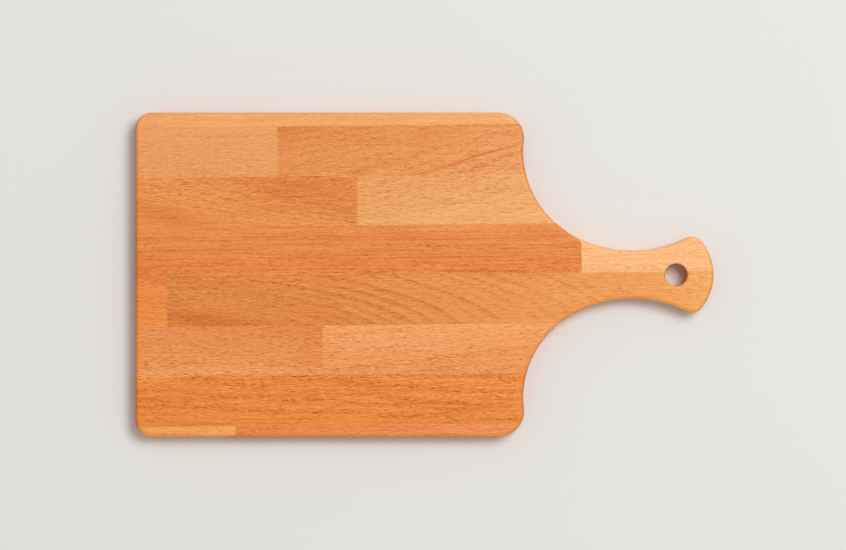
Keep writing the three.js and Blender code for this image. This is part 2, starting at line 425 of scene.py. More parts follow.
class StageLook(PropertyGroup):
    """The floor, the light and the camera."""

    floor: colour_property("Floor", "Colour of the floor", 0xE4E3E0)
    floor_reach: length_property("Floor reach", "Half the floor's width", 6000)
    floor_drop: length_property("Floor drop", "Gap under the board, so that the two faces don't fight", 0.2)
    sky_strength: FloatProperty(name="Sky strength", description="Of the even light", default=0.5, min=0)
    key_power: FloatProperty(
        name="Key power", description="Of the soft lamp", default=89.0, min=0, unit="POWER"
    )
    key_width: length_property("Key width", "Width of the soft lamp", 1600)
    key_place: place_property("Key place", "Where the soft lamp hangs", (1.3, 1.0, 3.6))
    lens: FloatProperty(name="Lens", description="Focal length of the camera", default=200, unit="CAMERA")
    frame_width: length_property("Frame width", "What the picture spans at the serving face", 573)
    frame_middle: place_property("Frame middle", "What the camera looks down at", (-0.00097, -0.00015))


# Outline of the board


def arc(centre, radius, start, end):
    """Points of an arc and their outward directions. A clockwise arc bulges, the other kind is a scoop."""
    side = 1 if end < start else -1
    steps = max(2, math.ceil(radius * abs(end - start) / ARC_STEP))
    points = []
    for step in range(steps + 1):
        turn = start + (end - start) * step / steps
        outward = Vector((math.cos(turn), math.sin(turn)))
        points.append((centre + radius * outward, side * outward))
    return points


def angle_to(start, end):
    """The angle at which one point sees another."""
    return math.atan2(end.y - start.y, end.x - start.x)


def places(shape):
    """The board's length, and its neck and tips measured from its square end."""
    scoop_step = shape.handle_scoop_radius - shape.shoulder_scoop_radius
    blend_step = scoop_step * math.sin(shape.scoop_blend_angle)
    neck_at = shape.body_length + shape.shoulder_scoop_radius + blend_step
    tip_at = neck_at + (shape.handle_scoop_radius + shape.tip_radius) * math.sin(shape.handle_flare_angle)
    board_length = tip_at + shape.tip_radius + shape.end_crown
    return board_length, neck_at, tip_at


def body_middle(shape):
    """The middle of the body, which the panel is turned about."""
    board_length, _, _ = places(shape)
    return Vector(((shape.body_length - board_length) / 2, 0, 0))


def back_half(shape):
    """The outline from the square end's back corner to the middle of the handle's end."""
    board_length, neck_at, tip_at = places(shape)
    square_end = -board_length / 2
    edge = shape.board_width / 2
    blend = shape.scoop_blend_angle
    scoop_step = shape.handle_scoop_radius - shape.shoulder_scoop_radius
    handle_scoop = Vector((square_end + neck_at, shape.neck_width / 2 + shape.handle_scoop_radius))
    shoulder_scoop = handle_scoop - scoop_step * Vector((math.sin(blend), math.cos(blend)))
    tip_reach = shape.handle_scoop_radius + shape.tip_radius
    tip = Vector((square_end + tip_at, handle_scoop.y - tip_reach * math.cos(shape.handle_flare_angle)))
    end_reach = shape.tip_radius + shape.end_crown
    end_radius = (end_reach**2 + tip.y**2 - shape.tip_radius**2) / (2 * shape.end_crown)
    end = Vector((board_length / 2 - end_radius, 0))
    corner = Vector((square_end + shape.corner_radius, edge - shape.corner_radius))
    shoulder = Vector((0, edge - shape.shoulder_radius))
    shoulder_reach = shape.shoulder_scoop_radius + shape.shoulder_radius
    shoulder.x = shoulder_scoop.x - math.sqrt(shoulder_reach**2 - (shoulder.y - shoulder_scoop.y) ** 2)
    turn = angle_to(shoulder, shoulder_scoop)
    meet = -math.pi / 2 - blend
    flare = angle_to(handle_scoop, tip)
    crown = angle_to(end, tip)
    arcs = [
        arc(corner, shape.corner_radius, math.pi, math.pi / 2),
        arc(shoulder, shape.shoulder_radius, math.pi / 2, turn),
        arc(shoulder_scoop, shape.shoulder_scoop_radius, turn - math.pi, meet),
        arc(handle_scoop, shape.handle_scoop_radius, meet, flare),
        arc(tip, shape.tip_radius, flare + math.pi, crown),
        arc(end, end_radius, crown, 0),
    ]
    return [place for piece in arcs for place in piece]


def board_outline(shape):
    """The whole outline, clockwise, as points with their outward directions."""
    back = back_half(shape)
    flip = Vector((1, -1))
    front = [(point * flip, outward * flip) for point, outward in reversed(back)]
    outline = []
    for point, outward in back + front:
        if not outline or (point - outline[-1][0]).length > SAME_POINT:
            outline.append((point, outward))
    if (outline[0][0] - outline[-1][0]).length <= SAME_POINT:
        outline.pop()
    return outline


# Solids that the pieces are cut from and by


def add_object(name, mesh):
    """An object of a mesh, placed at the frame's origin."""
    thing = bpy.data.objects.new(name, mesh)
    bpy.context.scene.collection.objects.link(thing)
    return thing


def discard(*things):
    """Takes helper objects and their meshes out of the file."""
    for thing in things:
        mesh = thing.data
        bpy.data.objects.remove(thing)
        bpy.data.meshes.remove(mesh)


def rings_object(name, rings):
    """A closed solid of rings of points, each joined to the next, with a flat cap at both ends."""
    solid = bmesh.new()
    layers = [[solid.verts.new(point) for point in ring] for ring in rings]
    for low, high in zip(layers, layers[1:]):
        for i in range(len(low)):
            j = (i + 1) % len(low)
            solid.faces.new((low[i], low[j], high[j], high[i]))
    solid.faces.new(layers[0])
    solid.faces.new(layers[-1])
    bmesh.ops.recalc_face_normals(solid, faces=solid.faces)
    mesh = bpy.data.meshes.new(name)
    solid.to_mesh(mesh)
    solid.free()
    return add_object(name, mesh)


def quarter_round(radius):
    """Steps of a rounded edge: how far in from the side and how far from the face, starting on the face."""
    for step in range(EDGE_STEPS + 1):
        turn = math.pi / 2 * step / EDGE_STEPS
        yield radius * (1 - math.sin(turn)), radius * (1 - math.cos(turn))


def hole_cutter(shape):
    """What the hanging hole takes away: a round hole that flares at both faces."""
    board_length, _, _ = places(shape)
    middle = board_length / 2 - shape.hole_to_end
    radius = shape.hole_diameter / 2
    easing = [(radius + inset, height) for inset, height in quarter_round(shape.hole_edge_radius)]
    lower = [(easing[0][0], -CUT_MARGIN)] + easing
    upper = [(out, shape.thickness - height) for out, height in reversed(lower)]
    rings = []
    for out, height in lower + upper:
        ring = []
        for side in range(HOLE_SIDES):
            turn = 2 * math.pi * side / HOLE_SIDES
            ring.append((middle + out * math.cos(turn), out * math.sin(turn), height))
        rings.append(ring)
    return rings_object("hole_cutter", rings)


def board_blank(shape):
    """The whole board as one solid, for the staves and the glue to be cut from."""
    outline = board_outline(shape)
    lower = list(quarter_round(shape.edge_radius))
    upper = [(inset, shape.thickness - height) for inset, height in reversed(lower)]
    rings = []
    for inset, height in lower + upper:
        rings.append([(*(point - inset * outward), height) for point, outward in outline])
    whole = rings_object("whole_board", rings)
    cutter = hole_cutter(shape)
    blank = cut_object("board_blank", whole, cutter, "DIFFERENCE")
    discard(whole, cutter)
    return blank


def cut_object(name, target, cutter, operation):
    """A new object: one solid cut by another."""
    modifier = target.modifiers.new("cut", "BOOLEAN")
    modifier.operation = operation
    modifier.solver = "EXACT"
    modifier.object = cutter
    graph = bpy.context.evaluated_depsgraph_get()
    mesh = bpy.data.meshes.new_from_object(target.evaluated_get(graph))
    target.modifiers.remove(modifier)
    mesh.name = name
    return add_object(name, mesh)


# Joints between the staves


def seam_after(shape, row):
    """Where the seam on the front side of a row lies across the panel."""
    stave_width = (shape.board_width - shape.back_strip_width - shape.front_strip_width) / (ROW_COUNT - 2)
    return shape.board_width / 2 - shape.back_strip_width - (row - 1) * stave_width


def row_edges(shape, row):
    """The front and back limits of a row's wood across the panel."""
    high = shape.board_width if row == 1 else seam_after(shape, row - 1) - shape.glue_film / 2
    low = -shape.board_width if row == ROW_COUNT else seam_after(shape, row) + shape.glue_film / 2
    return low, high


def open_ends(shape):
    """Lines through the thickness past both ends of the board, between which a whole row lies."""
    reach, _, _ = places(shape)
    top = shape.thickness + CUT_MARGIN
    return [[Vector((x, -CUT_MARGIN)), Vector((x, top))] for x in (-reach, reach)]


def finger_line(shape, x):
    """The line of fingers through the thickness. The left stave's tips lie at x, a notch at mid-height."""
    pairs = math.ceil((shape.thickness / 2 + CUT_MARGIN) / shape.finger_pitch)
    half_tip = shape.finger_tip / 2
    line = []
    for pair in range(-pairs, pairs + 1):
        notch = shape.thickness / 2 + pair * shape.finger_pitch
        tip = notch + shape.finger_pitch / 2
        line.append(Vector((x - shape.finger_length, notch - half_tip)))
        line.append(Vector((x - shape.finger_length, notch + half_tip)))
        line.append(Vector((x, tip - half_tip)))
        line.append(Vector((x, tip + half_tip)))
    return line


def beside(line, distance):
    """A line moved by a distance to its right as it runs, with its corners mitred."""
    normals = []
    for start, end in zip(line, line[1:]):
        along = (end - start).normalized()
        normals.append(Vector((along.y, -along.x)))
    moved = []
    for point, before, after in zip(line, normals[:1] + normals, normals + normals[-1:]):
        mitre = (before + after) / (1 + before.dot(after))
        moved.append(point + mitre * distance)
    return moved


def stretch_cutter(shape, left, right, low, high):
    """The block between two lines through the thickness and two places across the panel, turned with it."""
    profile = left + right[::-1]
    rings = [[(x, y, z) for x, z in profile] for y in (low, high)]
    block = rings_object("stretch_cutter", rings)
    turn = Matrix.Rotation(shape.stave_tilt, 4, "Z")
    block.data.transform(Matrix.Translation(body_middle(shape)) @ turn)
    return block


def joint_sides(shape, row):
    """The left and right faces of the glue in a row's end joint, as lines through the thickness."""
    joint = finger_line(shape, getattr(shape, END_JOINTS[row]) - shape.body_length / 2)
    return beside(joint, -shape.glue_film / 2), beside(joint, shape.glue_film / 2)


def cut_stretch(shape, blank, name, left, right, low, high):
    """A piece of the blank, with flat faces shaded flat and rounded ones smooth."""
    cutter = stretch_cutter(shape, left, right, low, high)
    rough = cut_object(name, blank, cutter, "INTERSECT")
    rough.data.shade_smooth()
    rough.data.set_sharp_from_angle(angle=SHARP_ANGLE)
    weighted = rough.modifiers.new("flat faces", "WEIGHTED_NORMAL")
    weighted.keep_sharp = True
    graph = bpy.context.evaluated_depsgraph_get()
    smooth = rough.evaluated_get(graph)
    mesh = bpy.data.meshes.new_from_object(smooth, preserve_all_data_layers=True, depsgraph=graph)
    discard(cutter, rough)
    mesh.name = name
    return add_object(name, mesh)


def dress(piece, material, *nodes):
    """Gives a piece its material, and lets it stand for its nodes of the frame."""
    piece.data.materials.clear()
    piece.data.materials.append(material)
    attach(piece, "root")
    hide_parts(*nodes)


# Shader nodes


class Wiring:
    """Adds nodes to a tree, wired as they are made and set out in columns from left to right."""

    COLUMN_WIDTH = 200
    ROW_HEIGHT = 200

    def __init__(self, tree):
        self.tree = tree
        self.columns = {}

    def add(self, kind, inputs, **settings):
        """A node whose inputs are other nodes' sockets or plain values."""
        node = self.tree.nodes.new(kind)
        for setting, value in settings.items():
            setattr(node, setting, value)
        column = 0
        for socket, value in inputs.items():
            if isinstance(value, bpy.types.NodeSocket):
                self.tree.links.new(value, node.inputs[socket])
                column = max(column, self.columns[value.node.name] + 1)
            else:
                node.inputs[socket].default_value = value
        row = list(self.columns.values()).count(column)
        node.location = (column * self.COLUMN_WIDTH, -row * self.ROW_HEIGHT)
        self.columns[node.name] = column
        return node

    def group(self, build, **inputs):
        """A shared group placed with its own values: its outputs by name."""
        return self.add("ShaderNodeGroup", inputs, node_tree=shared_group(build)).outputs

    def math(self, operation, *values):
        """The result of a sum on numbers."""
        return self.add("ShaderNodeMath", dict(enumerate(values)), operation=operation).outputs[0]

    def vector(self, operation, *values):
        """The vector that a sum on vectors gives."""
        node = self.add("ShaderNodeVectorMath", dict(enumerate(values)), operation=operation)
        return node.outputs["Vector"]

    def measure(self, operation, *values):
        """The number that a sum on vectors gives."""
        node = self.add("ShaderNodeVectorMath", dict(enumerate(values)), operation=operation)
        return node.outputs["Value"]

    def scaled(self, vector, factor):
        """A vector times a number."""
        node = self.add("ShaderNodeVectorMath", {"Vector": vector, "Scale": factor}, operation="SCALE")
        return node.outputs["Vector"]

    def apart(self, vector):
        """The three parts of a vector."""
        return self.add("ShaderNodeSeparateXYZ", {"Vector": vector}).outputs

    def together(self, x, y, z):
        """A vector of three parts."""
        return self.add("ShaderNodeCombineXYZ", {"X": x, "Y": y, "Z": z}).outputs[0]

    def lattice(self, vector, size):
        """Where a vector lies on a lattice with cells of that size, turned so that its lines don't show."""
        shrunk = self.vector("MULTIPLY", vector, tuple(1 / side for side in size))
        turn = {"Vector": shrunk, "Axis": (1, 1, 1), "Angle": LATTICE_TURN}
        return self.add("ShaderNodeVectorRotate", turn).outputs[0]

    def noise(self, vector, size, detail=1.0):
        """Noise about zero, with lumps of that size along each axis."""
        at = self.lattice(vector, size)
        node = self.add("ShaderNodeTexNoise", {"Vector": at, "Scale": 1.0, "Detail": detail})
        return self.math("SUBTRACT", node.outputs[0], 0.5)

    def spots(self, vector, size):
        """Spots a little smaller than that size: the distance from the nearest, and a number of its own."""
        node = self.add("ShaderNodeTexVoronoi", {"Vector": self.lattice(vector, size), "Scale": 1.0})
        return node.outputs["Distance"], self.apart(node.outputs["Color"])["X"]

    def between(self, value, low, high):
        """A smooth rise from 0 to 1 as a value goes from low to high."""
        inputs = {"Value": value, "From Min": low, "From Max": high}
        return self.add("ShaderNodeMapRange", inputs, interpolation_type="SMOOTHSTEP").outputs[0]

    def tinted(self, colour, tint, amount):
        """A colour multiplied by a tint, as far as an amount says."""
        # The node has sockets of these names for numbers and vectors too, so those for colours go by index
        factor, first, second, result = 0, 6, 7, 2
        inputs = {factor: amount, first: colour, second: (*tint, 1)}
        node = self.add("ShaderNodeMix", inputs, data_type="RGBA", blend_type="MULTIPLY", clamp_factor=False)
        return node.outputs[result]


NUMBER = "NodeSocketFloat"
VECTOR = "NodeSocketVector"
COLOUR = "NodeSocketColor"
KINDS = {"VALUE": NUMBER, "VECTOR": VECTOR, "RGBA": COLOUR}


def start_group(name, vectors=(), numbers=(), colours=()):
    """A new shader node group with named inputs: its wiring, and its inputs' sockets by name."""
    tree = bpy.data.node_groups.new(name, "ShaderNodeTree")
    for kind, titles in ((VECTOR, vectors), (NUMBER, numbers), (COLOUR, colours)):
        for title in titles:
            tree.interface.new_socket(title, in_out="INPUT", socket_type=kind)
    wiring = Wiring(tree)
    return wiring, wiring.add("NodeGroupInput", {}).outputs


def end_group(wiring, **outputs):
    """Gives a group its outputs, each a socket in it."""
    for title, socket in outputs.items():
        wiring.tree.interface.new_socket(title, in_out="OUTPUT", socket_type=KINDS[socket.type])
    wiring.add("NodeGroupOutput", outputs)
    return wiring.tree


def shared_group(build):
    """A node group, built the first time that it is asked for."""
    for tree in bpy.data.node_groups:
        if tree.get("built_by") == build.__name__:
            return tree
    tree = build()
    tree["built_by"] = build.__name__
    return tree


def sawn_grain_group():
    """Where a point lies in its tree: along, round and out along the rays, and how far from the pith."""
    numbers = ("Untilt", "Shift", "PithAcross", "PithHeight", "LeanUp", "RayTurn")
    wiring, given = start_group("Sawn Grain", vectors=("Position", "Middle"), numbers=numbers)
    untilt = {"Vector": given["Position"], "Center": given["Middle"], "Angle": given["Untilt"]}
    panel = wiring.add("ShaderNodeVectorRotate", untilt, rotation_type="Z_AXIS").outputs[0]
    along, across, up = wiring.apart(wiring.scaled(panel, 1 / MILLIMETRE))
    spot = wiring.together(wiring.math("ADD", along, given["Shift"]), across, up)
    pith = wiring.math("MULTIPLY_ADD", along, given["LeanUp"], given["PithHeight"])
    out_across = wiring.math("SUBTRACT", across, given["PithAcross"])
    out = wiring.measure("LENGTH", wiring.together(out_across, wiring.math("SUBTRACT", up, pith), 0.0))
    radius = wiring.math("MULTIPLY_ADD", wiring.noise(spot, RING_WAVE_SIZE), RING_WAVE, out)
    rays = {"Vector": spot, "Angle": given["RayTurn"]}
    turned = wiring.add("ShaderNodeVectorRotate", rays, rotation_type="X_AXIS").outputs[0]
    wander = wiring.math("MULTIPLY", wiring.noise(spot, FIBRE_WANDER_SIZE), FIBRE_WANDER)
    grain = wiring.vector("ADD", turned, wiring.together(0.0, wander, 0.0))
    return end_group(wiring, Grain=grain, Along=along, Radius=radius)


def growth_rings_group():
    """Late wood about zero: each ring darkens outward, breaks up along the grain and is unlike the next."""
    wiring, given = start_group("Growth Rings", vectors=("Grain",), numbers=("Radius", "RingWidth"))
    count = wiring.math("DIVIDE", given["Radius"], given["RingWidth"])
    rate = {"W": count, "Scale": SWAYS_PER_RING, "Detail": 1.0}
    sway = wiring.add("ShaderNodeTexNoise", rate, noise_dimensions="1D").outputs[0]
    uneven = wiring.math("MULTIPLY_ADD", sway, RING_SWAY, count)
    part = wiring.math("FRACT", uneven)
    number = {"W": wiring.math("FLOOR", uneven)}
    own = wiring.add("ShaderNodeTexWhiteNoise", number, noise_dimensions="1D").outputs[0]
    rise = wiring.math("POWER", part, LATE_WOOD_POWER)
    late = wiring.math("MULTIPLY", rise, wiring.between(part, 1.0, LATE_WOOD_FALL))
    late = wiring.math("MULTIPLY", late, wiring.math("MULTIPLY_ADD", own, RING_SPREAD, FAINTEST_RING))
    breaks = wiring.noise(given["Grain"], RING_BREAK_SIZE)
    late = wiring.math("MULTIPLY", late, wiring.math("MULTIPLY_ADD", breaks, LATE_WOOD_BREAKS, 1.0))
    return end_group(wiring, LateWood=wiring.math("SUBTRACT", late, LATE_WOOD_MEAN))


def ray_flecks_group():
    """The short dark spindles of beech, where rays come to the surface."""
    wiring, given = start_group("Ray Flecks", vectors=("Grain",), numbers=("LateWood",))
    thin = wiring.math("MULTIPLY", wiring.noise(given["Grain"], FLECK_CROWD_SIZE), -FLECK_CROWDING)
    thin = wiring.math("MULTIPLY_ADD", given["LateWood"], -FLECKS_IN_LATE_WOOD, thin)
    flecks = 0.0
    for size in FLECK_SIZES:
        away, own = wiring.spots(given["Grain"], size)
        spindle = wiring.between(wiring.math("ADD", away, thin), FLECK_EDGE, FLECK_CORE)
        flecks = wiring.math("MAXIMUM", flecks, wiring.math("MULTIPLY", spindle, own))
    return end_group(wiring, Flecks=flecks)


def fibres_group():
    """Short strokes, long lines, broad streaks and the finest threads of the grain, each about zero."""
    wiring, given = start_group("Fibres", vectors=("Grain",))
    _, stroke_width, _ = STROKE_SIZE
    next_to = wiring.vector("ADD", given["Grain"], (0, stroke_width, 0))
    one_side = wiring.noise(given["Grain"], STROKE_SIZE, detail=2.0)
    other_side = wiring.noise(next_to, STROKE_SIZE, detail=2.0)
    strokes = wiring.math("MULTIPLY_ADD", other_side, -STROKE_CONTRAST, one_side)
    lines = wiring.noise(given["Grain"], LINE_SIZE)
    streaks = wiring.noise(given["Grain"], STREAK_SIZE)
    fine = wiring.noise(given["Grain"], FINE_SIZE, detail=2.0)
    return end_group(wiring, Strokes=strokes, Lines=lines, Streaks=streaks, Fine=fine)


def slow_change_group():
    """How the tone, the warmth and the marks change over a stave: in slopes and in soft patches."""
    vectors = ("Position", "Grain", "Middle", "HalfSize", "ToneSlope", "WarmthSlope", "MarksSlope")
    wiring, given = start_group("Slow Change", vectors=vectors, numbers=("Mottle", "RingFade"))
    from_middle = wiring.vector("SUBTRACT", given["Position"], given["Middle"])
    offset = wiring.vector("DIVIDE", from_middle, given["HalfSize"])
    patches = wiring.noise(given["Grain"], PATCH_SIZE)
    slope = wiring.measure("DOT_PRODUCT", offset, given["ToneSlope"])
    tone = wiring.math("MULTIPLY_ADD", patches, given["Mottle"], slope)
    warmth = wiring.measure("DOT_PRODUCT", offset, given["WarmthSlope"])
    along = wiring.apart(offset)["X"]
    fade = wiring.math("MULTIPLY", wiring.math("MULTIPLY", along, along), given["RingFade"])
    rings = wiring.math("MAXIMUM", wiring.math("SUBTRACT", 1.0, fade), 0.0)
    marks = wiring.math("ADD", wiring.measure("DOT_PRODUCT", offset, given["MarksSlope"]), 1.0)
    return end_group(wiring, Tone=tone, Warmth=warmth, Rings=rings, Marks=marks)


def coloured_band_group():
    """A band of deeper wood along the rings, which fades out along the stave and breaks up a little."""
    numbers = ("Radius", "Along", "BandRadius", "Thickness", "Middle", "Reach")
    wiring, given = start_group("Coloured Band", vectors=("Grain",), numbers=numbers)
    out = wiring.math("SUBTRACT", given["Radius"], given["BandRadius"])
    out = wiring.math("DIVIDE", out, given["Thickness"])
    along = wiring.math("SUBTRACT", given["Along"], given["Middle"])
    along = wiring.math("DIVIDE", along, given["Reach"])
    square = wiring.math("ADD", wiring.math("MULTIPLY", out, out), wiring.math("MULTIPLY", along, along))
    bell = wiring.math("EXPONENT", wiring.math("MULTIPLY", square, -1.0))
    breaks = wiring.noise(given["Grain"], BAND_BREAK_SIZE, detail=1.5)
    broken = wiring.math("MULTIPLY_ADD", breaks, BAND_BREAKS, 1.0)
    return end_group(wiring, Band=wiring.math("MULTIPLY", bell, broken))


def end_grain_group():
    """Where a surface cuts across the grain, the rays and rings that show there, and what other marks keep.

    The marks of the long grain fade where the surface cuts across it, and a little on the long sides.
    """
    wiring, given = start_group("End Grain", vectors=("Direction", "Grain"), numbers=("LateWood",))
    direction = wiring.apart(given["Direction"])
    end = wiring.between(wiring.math("ABSOLUTE", direction["X"]), *END_GRAIN_FACING)
    side = wiring.between(wiring.math("ABSOLUTE", direction["Y"]), *SIDE_GRAIN_FACING)
    rays = wiring.math("MULTIPLY", wiring.noise(given["Grain"], END_RAY_SIZE, detail=2.0), END_RAYS)
    figure = wiring.math("MULTIPLY_ADD", given["LateWood"], END_RINGS, rays)
    marks = wiring.math("MULTIPLY", figure, end)
    long_grain = wiring.math("MULTIPLY_ADD", end, -END_FADE, 1.0)
    long_grain = wiring.math("MULTIPLY_ADD", side, -SIDE_FADE, long_grain)
    return end_group(wiring, EndGrain=end, EndMarks=marks, LongGrain=long_grain)


def edge_wear_and_light_group():
    """Where hands and cloths rub the rounded edges, from the surface's direction, in uneven patches. This
    mask lightens the edges' tone, partly as rubbed wood and partly as painted light against the shade on the
    rounding, and roughens them as real wear.
    """
    wiring, given = start_group("Worn Edge", vectors=("Direction", "Grain"))
    up = wiring.apart(given["Direction"])["Z"]
    slant = wiring.math("MULTIPLY_ADD", wiring.math("MULTIPLY", up, up), 2.0, -1.0)
    mask = wiring.math("SUBTRACT", 1.0, wiring.math("ABSOLUTE", slant))
    noise = wiring.noise(given["Grain"], WEAR_AND_LIGHT_PATCH_SIZE, detail=2.0)
    patches = wiring.math("MULTIPLY_ADD", noise, WEAR_AND_LIGHT_PATCHES, 1.0)
    return end_group(wiring, Wear=wiring.math("MULTIPLY", mask, patches))


def beech_finish_group():
    """Colour, roughness and relief of oiled beech, from how deep its tone is and how dark its marks are."""
    numbers = ("Tone", "Warmth", "Marks", "Flecks", "Fine", "EndGrain", "Wear", "Roughness")
    wiring, given = start_group("Beech Finish", numbers=numbers, colours=("Colour",))
    colour = given["Colour"]
    marks = wiring.math("MAXIMUM", given["Marks"], wiring.math("MULTIPLY", given["Marks"], LIGHT_SIDE))
    for amount, tint in ((given["Tone"], DEEPER_TONE), (given["Warmth"], WARMER_TONE), (marks, DARK_MARK)):
        colour = wiring.vector("MULTIPLY", colour, wiring.vector("POWER", tint, amount))
    colour = wiring.tinted(colour, END_GRAIN_TINT, given["EndGrain"])
    rough = wiring.math("MULTIPLY_ADD", given["Fine"], FINE_ROUGHNESS, given["Roughness"])
    rough = wiring.math("MULTIPLY_ADD", given["Flecks"], FLECK_ROUGHNESS, rough)
    rough = wiring.math("MULTIPLY_ADD", given["EndGrain"], END_GRAIN_ROUGHNESS, rough)
    rough = wiring.math("MULTIPLY_ADD", given["Wear"], WORN_ROUGHNESS, rough)
    height = wiring.math("MULTIPLY_ADD", given["Flecks"], FLECK_HEIGHT, given["Fine"])
    return end_group(wiring, Colour=colour, Roughness=rough, Height=height)


# Materials


def new_material(name):
    """An empty node material and its wiring."""
    material = bpy.data.materials.new(name)
    material.use_nodes = True
    material.node_tree.nodes.clear()
    return material, Wiring(material.node_tree)


def finish_material(wiring, surface):
    """Leads a Principled BSDF with these inputs to the material's output."""
    shader = wiring.add("ShaderNodeBsdfPrincipled", surface)
    wiring.add("ShaderNodeOutputMaterial", {"Surface": shader.outputs[0]})


def row_middle(shape, row):
    """Where the middle of a row lies across the panel, in millimetres."""
    low, high = row_edges(shape, row)
    edge = shape.board_width / 2
    return (max(low, -edge) + min(high, edge)) / 2 / MILLIMETRE


def ring_radius(shape, stave, band):
    """How far a band's place on the serving face lies from its stave's pith, in millimetres."""
    out_across = band.across - row_middle(shape, stave.row) - stave.pith_across
    out_up = shape.thickness / MILLIMETRE - stave.pith_height - stave.lean_up * band.along
    return math.hypot(out_across, out_up)


def sawn_grain(wiring, shape, stave, position):
    """The directions of a stave's wood, as it was sawn from its tree."""
    return wiring.group(
        sawn_grain_group,
        Position=position,
        Middle=body_middle(shape),
        Untilt=-shape.stave_tilt,
        Shift=STAVE_SHIFT * STAVES.index(stave),
        PithAcross=row_middle(shape, stave.row) + stave.pith_across,
        PithHeight=stave.pith_height,
        LeanUp=stave.lean_up,
        RayTurn=math.radians(stave.ray_turn),
    )


def slow_change(wiring, stave, position, grain):
    """How a stave's tone and marks change from end to end and from side to side."""
    low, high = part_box(stave.node)
    return wiring.group(
        slow_change_group,
        Position=position,
        Grain=grain,
        Middle=(low + high) / 2,
        HalfSize=(high - low) / 2,
        ToneSlope=(stave.to_handle, -stave.to_front, 0),
        WarmthSlope=(0, -stave.warm_front, 0),
        MarksSlope=(stave.marks_to_handle, -stave.marks_to_front, 0),
        Mottle=stave.mottle,
        RingFade=stave.ring_fade,
    )


def band_mask(wiring, shape, stave, band, sawn):
    """Where one band lies in a stave's wood."""
    return wiring.group(
        coloured_band_group,
        Grain=sawn["Grain"],
        Radius=sawn["Radius"],
        Along=sawn["Along"],
        BandRadius=ring_radius(shape, stave, band),
        Thickness=band.thickness,
        Middle=band.along,
        Reach=band.reach,
    )["Band"]


def stave_marks(wiring, stave, late_wood, flecks, fibres, change, ends):
    """How dark a stave's fine marks are: its fibres, flecks and rings, and what shows on its ends."""
    marks = wiring.math("MULTIPLY", fibres["Fine"], FINE_STRENGTH)
    marks = wiring.math("MULTIPLY_ADD", flecks, stave.flecks, marks)
    marks = wiring.math("MULTIPLY_ADD", fibres["Strokes"], stave.strokes, marks)
    marks = wiring.math("MULTIPLY_ADD", fibres["Lines"], stave.lines, marks)
    marks = wiring.math("MULTIPLY", marks, ends["LongGrain"])
    rings = wiring.math("MULTIPLY", late_wood, change["Rings"])
    marks = wiring.math("MULTIPLY_ADD", rings, stave.rings, marks)
    return wiring.math("MULTIPLY_ADD", marks, change["Marks"], ends["EndMarks"])


def beech_material(shape, finish, stave):
    """The wood of one stave."""
    material, wiring = new_material("beech_" + stave.node)
    where = wiring.add("ShaderNodeTexCoord", {}).outputs
    position, direction = where["Object"], where["Normal"]
    sawn = sawn_grain(wiring, shape, stave, position)
    grain = sawn["Grain"]
    late_wood = wiring.group(
        growth_rings_group, Grain=grain, Radius=sawn["Radius"], RingWidth=stave.ring_width
    )["LateWood"]
    flecks = wiring.group(ray_flecks_group, Grain=grain, LateWood=late_wood)["Flecks"]
    fibres = wiring.group(fibres_group, Grain=grain)
    change = slow_change(wiring, stave, position, grain)
    ends = wiring.group(end_grain_group, Direction=direction, Grain=grain, LateWood=late_wood)
    edge_wear_and_light = wiring.group(edge_wear_and_light_group, Direction=direction, Grain=grain)["Wear"]
    tone = wiring.math("MULTIPLY_ADD", fibres["Streaks"], stave.streaks, change["Tone"])
    # Rounded edges painted paler: partly rubbed wood, partly painted light that offsets the shade on the
    # rounding
    tone = wiring.math("MULTIPLY_ADD", edge_wear_and_light, EDGE_WEAR_AND_LIGHT_TONE, tone)
    for band in stave.bands:
        tone = wiring.math("MULTIPLY_ADD", band_mask(wiring, shape, stave, band, sawn), band.depth, tone)
    wood = wiring.group(
        beech_finish_group,
        Colour=(*getattr(finish, stave.node), 1),
        Tone=tone,
        Warmth=change["Warmth"],
        Marks=stave_marks(wiring, stave, late_wood, flecks, fibres, change, ends),
        Flecks=flecks,
        Fine=fibres["Fine"],
        EndGrain=ends["EndGrain"],
        Wear=edge_wear_and_light,
        Roughness=finish.roughness,
    )
    relief = {"Height": wood["Height"], "Strength": finish.relief, "Distance": RELIEF_DEPTH}
    surface = {
        "Base Color": wood["Colour"],
        "Roughness": wood["Roughness"],
        "Normal": wiring.add("ShaderNodeBump", relief).outputs[0],
        "Specular IOR Level": WOOD_SPECULAR,
    }
    finish_material(wiring, surface)
    return material


def glue_material(finish):
    """Cured wood glue: amber, with cloudy patches."""
    material = bpy.data.materials.get("cured_glue")
    if material:
        return material
    material, wiring = new_material("cured_glue")
    where = wiring.add("ShaderNodeTexCoord", {}).outputs["Object"]
    clouds = wiring.noise(wiring.scaled(where, 1 / MILLIMETRE), GLUE_CLOUD_SIZE, detail=3.0)
    tone = wiring.math("MULTIPLY_ADD", clouds, GLUE_CLOUD_TONE, GLUE_TONE)
    surface = {
        "Base Color": wiring.tinted((*finish.glue, 1), DEEPER_TONE, tone),
        "Roughness": wiring.math("MULTIPLY_ADD", clouds, GLUE_CLOUD_ROUGHNESS, GLUE_ROUGHNESS),
    }
    finish_material(wiring, surface)
    return material


# Pieces of the board


def stave_ends(shape, stave):
    """The lines through the thickness where a stave starts and ends."""
    left, right = open_ends(shape)
    row = [other.node for other in STAVES if other.row == stave.row]
    if len(row) == 1:
        return left, right
    glue_left, glue_right = joint_sides(shape, stave.row)
    if stave.node == row[0]:
        return left, glue_left
    return glue_right, right


def make_staves(context, nodes):
    """Cuts staves from the blank and gives each its wood."""
    shape = context.scene.board_shape
    blank = board_blank(shape)
    for stave in STAVES:
        if stave.node in nodes:
            ends = stave_ends(shape, stave)
            piece = cut_stretch(shape, blank, "beech_" + stave.node, *ends, *row_edges(shape, stave.row))
            dress(piece, beech_material(shape, context.scene.beech_finish, stave), stave.node)
    discard(blank)
    return {"FINISHED"}


